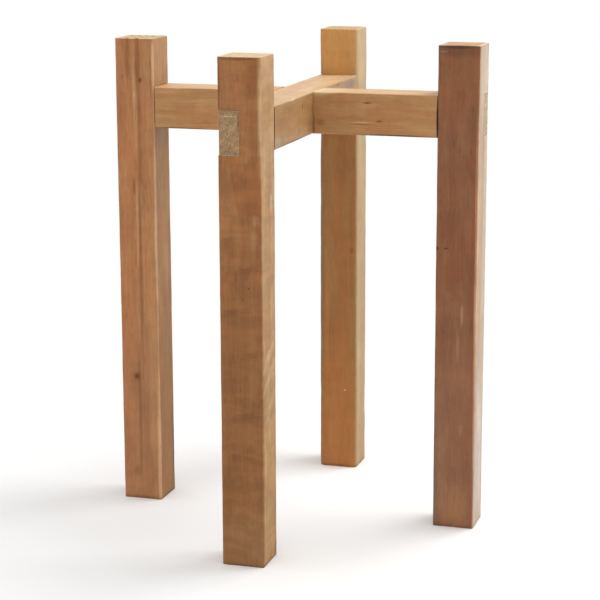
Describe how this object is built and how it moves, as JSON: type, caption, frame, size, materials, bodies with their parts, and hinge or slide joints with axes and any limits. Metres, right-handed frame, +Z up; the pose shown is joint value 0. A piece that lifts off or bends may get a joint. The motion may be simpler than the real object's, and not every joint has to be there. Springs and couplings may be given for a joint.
{
  "type": "plant stand",
  "caption": "Free-standing wooden plant stand: squared legs lapped onto the ends of crossing rails, which carry a pot between the leg tops.",
  "frame": {"origin": "on the floor, midway between the legs", "axes": "+Z up; +X along the lower rail, from the left leg to the right leg; +Y along the upper rail, from the front leg to the back leg"},
  "size_m": [0.38, 0.38, 0.49],
  "materials": {
    "timber_left_leg": "oiled orange-brown hardwood",
    "timber_right_leg": "oiled dark red-brown hardwood",
    "timber_front_leg": "oiled mid-brown hardwood with a cross figure",
    "timber_back_leg": "oiled golden-brown hardwood",
    "timber_lower_rail": "oiled golden-brown hardwood",
    "timber_upper_rail": "oiled pinkish-brown hardwood with grey sawn ends",
    "screws": "zinc-plated steel"
  },
  "bodies": {
    "root": {"leg_left": "timber_left_leg", "leg_right": "timber_right_leg", "leg_front": "timber_front_leg", "leg_back": "timber_back_leg", "lower_rail": "timber_lower_rail", "upper_rail": "timber_upper_rail", "leg_screws": "screws", "crossing_screw": "screws"}
  },
  "joints": []
}
